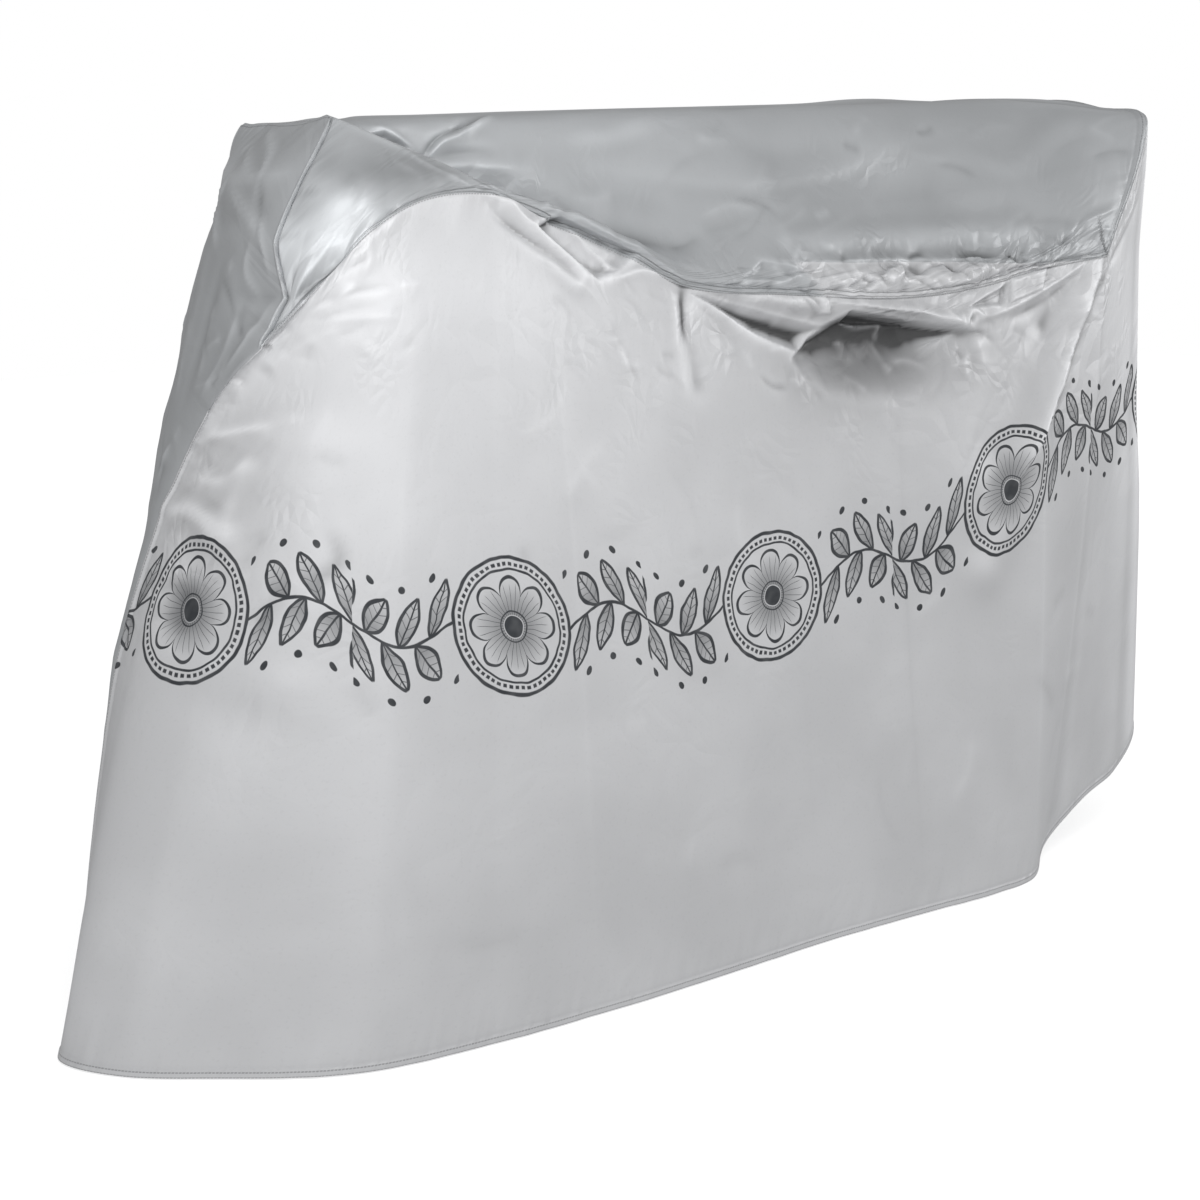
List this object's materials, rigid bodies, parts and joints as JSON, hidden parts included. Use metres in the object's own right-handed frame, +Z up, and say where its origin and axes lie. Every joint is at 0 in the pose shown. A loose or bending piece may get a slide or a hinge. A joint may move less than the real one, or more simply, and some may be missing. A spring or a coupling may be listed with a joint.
{
  "type": "motorcycle cover",
  "caption": "Fitted cover of thin silver film, draped as over a motorcycle, scooter or bicycle, with a printed band along its sides and a hem cut up at the tail.",
  "frame": {"origin": "support point under the middle of the crown, where the vehicle holds the cover up", "axes": "+X towards the tail, +Y towards the far side, +Z up; the lowest hem is 1.066 m below the origin"},
  "size_m": [1.735, 0.8168, 1.0935],
  "materials": {
    "printed_film": "satin silver film with a dark grey printed band",
    "plain_film": "satin silver film"
  },
  "bodies": {
    "root": {"side_panel_near": "printed_film", "side_panel_far": "printed_film", "front_panel": "plain_film", "top_panel": "plain_film"}
  },
  "joints": []
}
